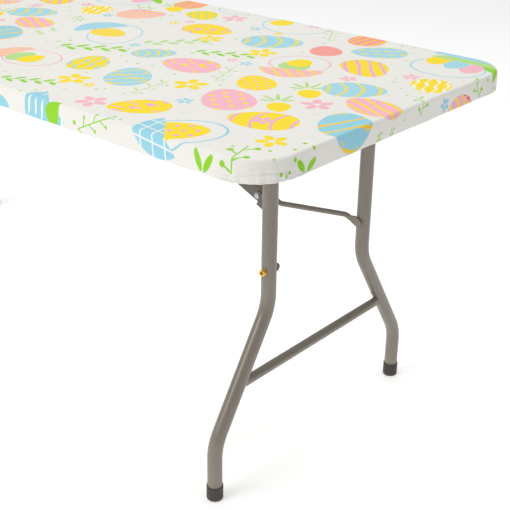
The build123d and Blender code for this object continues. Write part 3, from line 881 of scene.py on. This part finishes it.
def sweepRing(name, halfLength, halfWidth, radius, spacing, section, material):
    # section(along, around) gives, for every path point, its loop of outward and upward offsets
    perimeter = 4 * (halfLength + halfWidth - 2 * radius) + math.tau * radius
    alongSteps = round(2 * (halfLength - radius) / spacing)
    acrossSteps = round(2 * (halfWidth - radius) / spacing)
    cornerSteps = max(8, round(math.pi / 2 * radius / spacing))
    steps = (alongSteps, acrossSteps, cornerSteps)
    core, outward, along, around = outlinePath(halfLength, halfWidth, radius, *steps)
    offsets, middle = section(along, around)
    count, sides = len(core), offsets.shape[1]
    rim = core[:, None, :] + outward[:, None, :] * (radius + offsets[:, :, 0])[:, :, None]
    points = np.concatenate([rim, (middle + offsets[:, :, 1])[:, :, None]], 2).reshape(-1, 3)
    faces = []
    for step in range(count):
        after = (step + 1) % count
        for side in range(sides):
            beside = (side + 1) % sides
            faces.append((step * sides + side, after * sides + side,
                          after * sides + beside, step * sides + beside))
    piece = meshFrom(name, points, faces, [material])
    print(name, count, "sections, path", round(perimeter, 3), "m")
    return piece


def makeHem(material):
    # a gathered tube of the cloth, puffed between its gathers
    draw = np.random.default_rng(hem["seed"])
    halfHeight = (casingHigh.z - casingLow.z) / 2

    def section(along, around):
        puff = 1 + hem["gatherDepth"] * waves(along, around, hem["gatherPitches"], draw)
        sway = hem["swayDepth"] * waves(along, around, hem["swayPitches"], draw)
        turn = np.linspace(0, math.tau, hem["sectionPoints"], endpoint=False)
        outwardShare = np.sign(np.cos(turn)) * abs(np.cos(turn)) ** hem["squareness"]
        upShare = np.sign(np.sin(turn)) * abs(np.sin(turn)) ** hem["squareness"]
        aside = hem["halfWidth"] * outwardShare[None, :] * puff[:, None] + sway[:, None]
        lower = np.where(upShare < 0, upShare, 0)[None, :] * puff[:, None]
        upper = np.where(upShare > 0, upShare, 0)[None, :]
        return np.stack([aside, halfHeight * (lower + upper)], 2), casingLow.z + halfHeight

    inset = cloth["returnWidth"] - hem["halfWidth"]
    piece = sweepRing("hemCasing", clothHigh.x - inset, clothHigh.y - inset, cloth["cornerRadius"] - inset,
                      hem["steps"], section, material)
    return thicken(piece, hem["wall"])


def makeElastic(material):
    middle = (elasticLow.z + elasticHigh.z) / 2

    def section(along, around):
        wide, high = band["width"] / 2, band["height"] / 2
        sideHigh, topWide = high - band["edge"], wide - band["edge"]
        loop = [(wide, -sideHigh), (wide, sideHigh), (topWide, high), (0, high), (-topWide, high),
                (-wide, sideHigh), (-wide, -sideHigh), (-topWide, -high), (0, -high), (topWide, -high)]
        offsets = np.repeat(np.array(loop)[None, :, :], len(along), 0)
        return offsets, middle

    inset = clothHigh.x - (elasticHigh.x - band["width"] / 2)
    return sweepRing("elasticBand", clothHigh.x - inset, clothHigh.y - inset, cloth["cornerRadius"] - inset,
                     band["steps"], section, material)


stitching = {
    "pitch": 4.4,
    "length": 3.0,
    "thread": 0.32,
    "inset": 20.0,
    "sink": 0.1,
    "looseness": 0.06,
    "seamSteps": (60, 24, 12),
    "seed": 3,
}


def makeStitches(material):
    # a row of lock stitches that shuts the casing, laid by a Geometry Nodes tree along the seam
    inset = stitching["inset"] * mm
    path = bpy.data.meshes.new("seamPath")
    radius = cloth["cornerRadius"] - inset
    core, outward = outlinePath(clothHigh.x - inset, clothHigh.y - inset, radius, *stitching["seamSteps"])[:2]
    ring = core + outward * radius
    level = clothLow.z - stitching["sink"] * mm
    edges = [(i, (i + 1) % len(ring)) for i in range(len(ring))]
    path.from_pydata([(x, y, level) for x, y in ring], edges, [])
    piece = bpy.data.objects.new("hemStitches", path)
    bpy.context.scene.collection.objects.link(piece)
    tree = bpy.data.node_groups.new("stitchRow", "GeometryNodeTree")
    face = tree.interface
    face.new_socket("Geometry", in_out="INPUT", socket_type="NodeSocketGeometry")
    for name in ("Pitch", "Stitch Length", "Thread Radius"):
        face.new_socket(name, in_out="INPUT", socket_type="NodeSocketFloat")
    face.new_socket("Seed", in_out="INPUT", socket_type="NodeSocketInt")
    face.new_socket("Thread", in_out="INPUT", socket_type="NodeSocketMaterial")
    face.new_socket("Geometry", in_out="OUTPUT", socket_type="NodeSocketGeometry")

    def node(kind, settings=None, sockets=None):
        made = tree.nodes.new(kind)
        for key, value in (settings or {}).items():
            setattr(made, key, value)
        for key, value in (sockets or {}).items():
            if isinstance(value, bpy.types.NodeSocket):
                tree.links.new(value, made.inputs[key])
            else:
                made.inputs[key].default_value = value
        return made

    given = node("NodeGroupInput").outputs
    curve = node("GeometryNodeMeshToCurve", None, {"Mesh": given["Geometry"]}).outputs["Curve"]
    spaced = node("GeometryNodeResampleCurve", {"mode": "LENGTH"},
                  {"Curve": curve, "Length": given["Pitch"]})
    tangent = node("GeometryNodeInputTangent").outputs["Tangent"]
    loose = stitching["looseness"]
    jitter = node("FunctionNodeRandomValue", {"data_type": "FLOAT_VECTOR"},
                  {"Min": (-loose, -loose, -loose), "Max": (loose, loose, loose), "Seed": given["Seed"]})
    heading = node("ShaderNodeVectorMath", {"operation": "ADD"}, {0: tangent, 1: jitter.outputs["Value"]})
    aim = node("FunctionNodeAlignRotationToVector", {"axis": "Z"}, {"Vector": heading.outputs["Vector"]})
    points = node("GeometryNodeCurveToPoints", {"mode": "EVALUATED"}, {"Curve": spaced.outputs["Curve"]})
    ball = node("GeometryNodeMeshUVSphere", None,
                {"Segments": 6, "Rings": 5, "Radius": given["Thread Radius"]})
    ratio = node("ShaderNodeMath", {"operation": "DIVIDE"},
                 {0: given["Stitch Length"], 1: given["Thread Radius"]})
    half = node("ShaderNodeMath", {"operation": "MULTIPLY"}, {0: ratio.outputs[0], 1: 0.5})
    stretch = node("ShaderNodeCombineXYZ", None, {"X": 1.0, "Y": 1.0, "Z": half.outputs[0]})
    bead = node("GeometryNodeTransform", None,
                {"Geometry": ball.outputs["Mesh"], "Scale": stretch.outputs[0]})
    laid = node("GeometryNodeInstanceOnPoints", None,
                {"Points": points.outputs["Points"], "Instance": bead.outputs["Geometry"],
                 "Rotation": aim.outputs["Rotation"]})
    real = node("GeometryNodeRealizeInstances", None, {"Geometry": laid.outputs["Instances"]})
    smooth = node("GeometryNodeSetShadeSmooth", None, {"Geometry": real.outputs["Geometry"]})
    dressed = node("GeometryNodeSetMaterial", None,
                   {"Geometry": smooth.outputs["Geometry"], "Material": given["Thread"]})
    node("NodeGroupOutput", None, {"Geometry": dressed.outputs["Geometry"]})
    row = piece.modifiers.new("stitches", "NODES")
    row.node_group = tree
    values = {
        "Pitch": stitching["pitch"] * mm,
        "Stitch Length": stitching["length"] * mm,
        "Thread Radius": stitching["thread"] * mm,
        "Seed": stitching["seed"],
        "Thread": material,
    }
    for item in face.items_tree:
        if item.in_out == "INPUT" and item.name in values:
            row[item.identifier] = values[item.name]
    return bakeModifiers(piece)


clothLook = {
    "ground": (233, 231, 225),
    "shade": (225, 222, 215),
    "worn": (236, 234, 229),
    "roughness": 0.48,
    "specular": 0.12,
    "weave": 1250,
    "weaveDepth": 0.05,
    "slubStretch": (40, 300, 40),
    "uprightFolds": (75, 75, 9),
    "slantedFolds": (24, 24, 150),
    "foldSlant": 0.35,
    "softScale": 9.0,
    "creaseDepth": 11.0,
}
# shade is the darker tone the plain cloth takes with its fuzz, a random tone, and along its folds, which is
# painted shade of the gathers
plainLook = {"shade": (222, 219, 213), "fuzzScale": 900, "fuzzDepth": 0.12, "foldStretch": (120, 120, 20),
             "foldDepth": 0.8, "sheen": 0.25}
threadLook = {"light": (246, 244, 240), "dark": (226, 223, 217), "twistScale": 2600, "twistDepth": 0.08}
elasticLook = {"grooveShade": (205, 204, 200), "rib": (238, 237, 234), "ribTurns": 1900, "fuzzScale": 1500,
               "ribDepth": 0.25}
paintLook = {
    "framePaint": ((131, 124, 113), (120, 112, 102), 0.34),
    # the brace coat is the frame coat made darker: painted shade, for the brace's faces that look down into
    # shadow
    "braceShadedPaint": ((104, 98, 89), (90, 84, 76), 0.36),
}
coatLook = {
    "peelScale": 620,
    "peelDepth": 0.07,
    "cloudScale": 7,
    "dust": (176, 168, 156),
    "dustScale": 60,
    "dustHeight": 0.22,
    "scratch": (168, 160, 149),
    "scratchStretch": (400, 400, 14),
    "scratchFrom": 0.66,
    "scratchTo": 0.72,
    "metallic": 0.25,
    "coat": 0.2,
    "coatRoughness": 0.25,
}
plasticLook = {"moulding": ((226, 225, 220), (215, 214, 208)), "grain": 900, "grainDepth": 0.12,
               "flowStretch": (3, 14, 3)}
capLook = {"colour": (62, 54, 50), "scuff": (96, 88, 82), "gritScale": 500, "gritDepth": 0.2,
           "ribTurns": 1450, "rubbedHeight": 0.008}
blackLook = {"tone": (34, 33, 32), "pale": (52, 50, 48), "grainScale": 1100, "grainDepth": 0.06,
             "cloudScale": 45}
metalLook = {"zinc": ((196, 198, 200), (168, 170, 173)), "yellowZinc": ((226, 196, 92), (205, 160, 80))}
platingLook = {"spangleScale": 420, "cloudScale": 120, "brushStretch": (150, 150, 1900), "brushDepth": 0.03}


def clothGround(shader):
    # woven ground and the creases that gather at the corners, as colour and as a bumped normal
    spot = shader.where()
    strands = clothLook["weave"] * math.pi
    x, y, z = shader.split(spot)
    warp = ((x + z) * strands).math("SINE")
    weft = ((y - z) * strands).math("SINE")
    weave = warp * weft * 0.5 + 0.5
    slub = shader.noise(shader.where(clothLook["slubStretch"]), 1.0, 3.0)
    upright = shader.noise(shader.where(clothLook["uprightFolds"]), 1.0, 3.0, 0.6)
    lean = (0.0, clothLook["foldSlant"], 0.0)
    slanted = shader.noise(shader.where(clothLook["slantedFolds"], lean), 1.0, 2.0, 0.6)
    folds = upright * 0.5 + slanted * 0.5
    soft = shader.noise(spot, clothLook["softScale"], 2.0)
    gather = shader.attribute("gather", "Fac")
    creaseHeight = folds * gather * 0.9 + soft * 0.25
    normal = shader.bump(creaseHeight, clothLook["creaseDepth"] * mm)
    normal = shader.bump(weave * 0.7 + slub * 0.3, clothLook["weaveDepth"] * mm, normal)
    cloudy = shader.range(slub * 0.6 + soft * 0.4, 0.35, 0.65, 0.0, 1.0)
    ground = shader.mix(cloudy * 0.35, linear(*clothLook["ground"]), linear(*clothLook["shade"]))
    return ground, normal, weave, slub


def printedCloth(layers):
    shader = Shader("printedCloth")
    ground, normal, weave, slub = clothGround(shader)
    colour = ground
    painters = {"handles": paintHandles, "greens": paintGreens, "flowers": paintFlowers,
                "eggs": paintEggs, "baskets": paintBaskets}
    for layer in layers:
        colour = painters[layer.rstrip("0123456789")](shader, colour, layer)
    # ink sits unevenly on the weave
    worn = shader.range(slub, 0.3, 0.7, 0.0, 0.03)
    colour = shader.mix(worn + weave * 0.02, colour, linear(*clothLook["worn"]))
    roughness = shader.range(slub, 0.3, 0.7, clothLook["roughness"] - 0.05, clothLook["roughness"] + 0.07)
    return shader.finish(Base_Color=colour, Roughness=roughness, Normal=normal,
                         Specular_IOR_Level=clothLook["specular"])


def plainCloth(name, tint):
    shader = Shader(name)
    spot = shader.where()
    fuzz = shader.noise(spot, plainLook["fuzzScale"], 3.0, 0.7)
    folds = shader.noise(shader.where(plainLook["foldStretch"]), 1.0, 2.0)
    normal = shader.bump(folds, plainLook["foldDepth"] * mm)
    normal = shader.bump(fuzz, plainLook["fuzzDepth"] * mm, normal)
    # colour darkens with the fuzz, a random tone, and along the fold pattern, which is painted shade of the
    # gathers
    colour = shader.mix(fuzz * 0.5 + folds * 0.4, linear(*tint), linear(*plainLook["shade"]))
    return shader.finish(Base_Color=colour, Roughness=shader.range(fuzz, 0.3, 0.7, 0.8, 0.95), Normal=normal,
                         Sheen_Weight=plainLook["sheen"])


def threadMaterial():
    shader = Shader("whiteThread")
    twist = shader.noise(shader.where(), threadLook["twistScale"], 2.0)
    colour = shader.mix(twist, linear(*threadLook["light"]), linear(*threadLook["dark"]))
    return shader.finish(Base_Color=colour, Roughness=shader.range(twist, 0.3, 0.7, 0.45, 0.65),
                         Normal=shader.bump(twist, threadLook["twistDepth"] * mm))


def elasticMaterial():
    shader = Shader("braidedElastic")
    x, y = shader.split(shader.where())[:2]
    ribs = ((x + y) * elasticLook["ribTurns"]).math("SINE") * 0.5 + 0.5
    fuzz = shader.noise(shader.where(), elasticLook["fuzzScale"])
    # the colour darkens towards the grooves between the ribs: painted shade in the grooves
    colour = shader.mix(ribs * 0.6 + fuzz * 0.3, linear(*elasticLook["grooveShade"]), linear(*elasticLook["rib"]))
    return shader.finish(Base_Color=colour, Roughness=shader.range(fuzz, 0.3, 0.7, 0.7, 0.85),
                         Normal=shader.bump(ribs + fuzz * 0.4, elasticLook["ribDepth"] * mm))


def powderCoat(name):
    tone, deep, gloss = paintLook[name]
    shader = Shader(name)
    spot = shader.where()
    height = shader.split(spot)[2]
    peel = shader.noise(spot, coatLook["peelScale"], 2.0)
    cloud = shader.noise(spot, coatLook["cloudScale"], 3.0)
    dust = shader.noise(spot, coatLook["dustScale"], 5.0, 0.7)
    # a little floor dust low on the legs, and fine scratches along them
    low = shader.range(height, 0.0, coatLook["dustHeight"], 1.0, 0.0)
    scratch = shader.noise(shader.where(coatLook["scratchStretch"]), 1.0, 2.0)
    scratched = shader.range(scratch, coatLook["scratchFrom"], coatLook["scratchTo"], 0.0, 1.0)
    colour = shader.mix(cloud, linear(*tone), linear(*deep))
    colour = shader.mix(scratched * 0.25, colour, linear(*coatLook["scratch"]))
    colour = shader.mix(low * dust * 0.35, colour, linear(*coatLook["dust"]))
    roughness = gloss + (cloud - 0.5) * 0.12 + low * dust * 0.2 + scratched * 0.08
    return shader.finish(Base_Color=colour, Roughness=roughness, Metallic=coatLook["metallic"],
                         Normal=shader.bump(peel, coatLook["peelDepth"] * mm),
                         Coat_Weight=coatLook["coat"], Coat_Roughness=coatLook["coatRoughness"])


def mouldedPlastic():
    shader = Shader("mouldedPlastic")
    spot = shader.where()
    grain = shader.add("ShaderNodeTexVoronoi", {"feature": "SMOOTH_F1"},
                       {"Vector": spot, "Scale": plasticLook["grain"]}).output("Distance")
    flow = shader.noise(shader.where(plasticLook["flowStretch"]), 1.0, 4.0)
    tone, deep = plasticLook["moulding"]
    colour = shader.mix(flow * 0.8 + grain * 0.15, linear(*tone), linear(*deep))
    return shader.finish(Base_Color=colour, Roughness=shader.range(flow, 0.3, 0.7, 0.5, 0.62),
                         Normal=shader.bump(grain, plasticLook["grainDepth"] * mm))


def rubberCap():
    shader = Shader("footCap")
    spot = shader.where()
    height = shader.split(spot)[2]
    grit = shader.noise(spot, capLook["gritScale"], 4.0, 0.7)
    rubbed = shader.range(height, 0.0, capLook["rubbedHeight"], 1.0, 0.0)
    rubbed = rubbed * shader.range(grit, 0.4, 0.6, 0.2, 1.0)
    ribs = (height * capLook["ribTurns"]).math("SINE") * 0.5 + 0.5
    colour = shader.mix(rubbed * 0.7 + grit * 0.15, linear(*capLook["colour"]), linear(*capLook["scuff"]))
    return shader.finish(Base_Color=colour, Roughness=0.5 + grit * 0.25,
                         Normal=shader.bump(grit * 0.5 + ribs * 0.35, capLook["gritDepth"] * mm))


def blackPlastic(name, roughness):
    shader = Shader(name)
    spot = shader.where()
    grain = shader.noise(spot, blackLook["grainScale"], 3.0, 0.6)
    cloud = shader.noise(spot, blackLook["cloudScale"])
    colour = shader.mix(cloud, linear(*blackLook["tone"]), linear(*blackLook["pale"]))
    return shader.finish(Base_Color=colour, Roughness=roughness + (grain - 0.5) * 0.2,
                         Normal=shader.bump(grain, blackLook["grainDepth"] * mm))


def plating(name):
    tone, deep = metalLook[name]
    shader = Shader(name)
    spot = shader.where()
    sockets = {"Vector": spot, "Scale": platingLook["spangleScale"]}
    spangle = shader.add("ShaderNodeTexVoronoi", None, sockets).output("Distance")
    cloud = shader.noise(spot, platingLook["cloudScale"], 3.0)
    brushed = shader.noise(shader.where(platingLook["brushStretch"]), 1.0, 2.0)
    colour = shader.mix(cloud * 0.6 + spangle * 0.5, linear(*tone), linear(*deep))
    return shader.finish(Base_Color=colour, Metallic=1.0, Roughness=0.24 + brushed * 0.18 + cloud * 0.08,
                         Normal=shader.bump(brushed, platingLook["brushDepth"] * mm))


def dressFrame():
    finishes = {
        "frame_paint": powderCoat("framePaint"),
        # the brace coat is darker than the frame coat as painted shade
        "brace_paint": powderCoat("braceShadedPaint"),
        "moulding": mouldedPlastic(),
        "cap": rubberCap(),
        "plug": blackPlastic("tubePlug", 0.5),
        "cap_nut": blackPlastic("nutCover", 0.3),
        "zinc": plating("zinc"),
        "yellow_zinc": plating("yellowZinc"),
    }
    soft = ("cloth_cover", "hem_casing", "elastic_band")
    for name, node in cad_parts.items():
        if name in soft:
            continue
        for slot in node.material_slots:
            slot.material = finishes[slot.material.name.split(".")[0]]


def makeFloor():
    shader = Shader("studioFloor")
    haze = shader.noise(shader.where(), 3.0)
    colour = shader.mix(haze * 0.1, linear(*stageLook["floorColour"]), linear(*stageLook["floorHaze"]))
    material = shader.finish(Base_Color=colour, Roughness=shader.range(haze, 0.0, 1.0, 0.7, 0.75),
                             Emission_Color=linear(*stageLook["floorColour"]),
                             Emission_Strength=stageLook["floorGlow"])
    half = stageLook["floorSize"] / 2
    floor = meshFrom("floor", [(-half, -half, 0), (half, -half, 0), (half, half, 0), (-half, half, 0)],
                     [(0, 1, 2, 3)], [material])


makeCamera()
makeLamps()
makeFloor()
print("camera, lamps and floor set")
dressFrame()
print("frame finishes assigned")

layerMotifs = {}
handleSpots = handleMotifs()
eggSpots = eggMotifs()
basketSpots = basketMotifs()
greenSpots = greenMotifs()
flowerSpots = flowerMotifs(handleSpots + eggSpots + basketSpots + greenSpots)
spotsByKind = (("handles", handleSpots, 1), ("greens", greenSpots, 1), ("flowers", flowerSpots, 1),
               ("eggs", eggSpots, 2), ("baskets", basketSpots, 2))
for name, spots, count in spotsByKind:
    for number, layer in enumerate(sortIntoLayers(spots, count)):
        layerMotifs[name + str(number + 1)] = layer
print("print laid out,", sum(len(spots) for spots in layerMotifs.values()), "motifs in a repeat")

printMaterial = printedCloth(list(layerMotifs))
backMaterial = plainCloth("clothBack", (240, 238, 233))
hemMaterial = plainCloth("hemCloth", (246, 243, 238))
fittedCloth = makeCloth(printMaterial, backMaterial, layerMotifs)
print("cloth made,", len(fittedCloth.data.polygons), "faces")
hemCasing = makeHem(hemMaterial)
elasticBand = makeElastic(elasticMaterial())
hemStitches = makeStitches(threadMaterial())
print("hem, elastic and stitches made")

slotNames = ((fittedCloth, "cloth"), (hemCasing, "hem"), (elasticBand, "elastic"), (hemStitches, "hem"))
for piece, slotName in slotNames:
    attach(piece, "table_top")
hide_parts("cloth_cover")
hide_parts("hem_casing")
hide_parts("elastic_band")
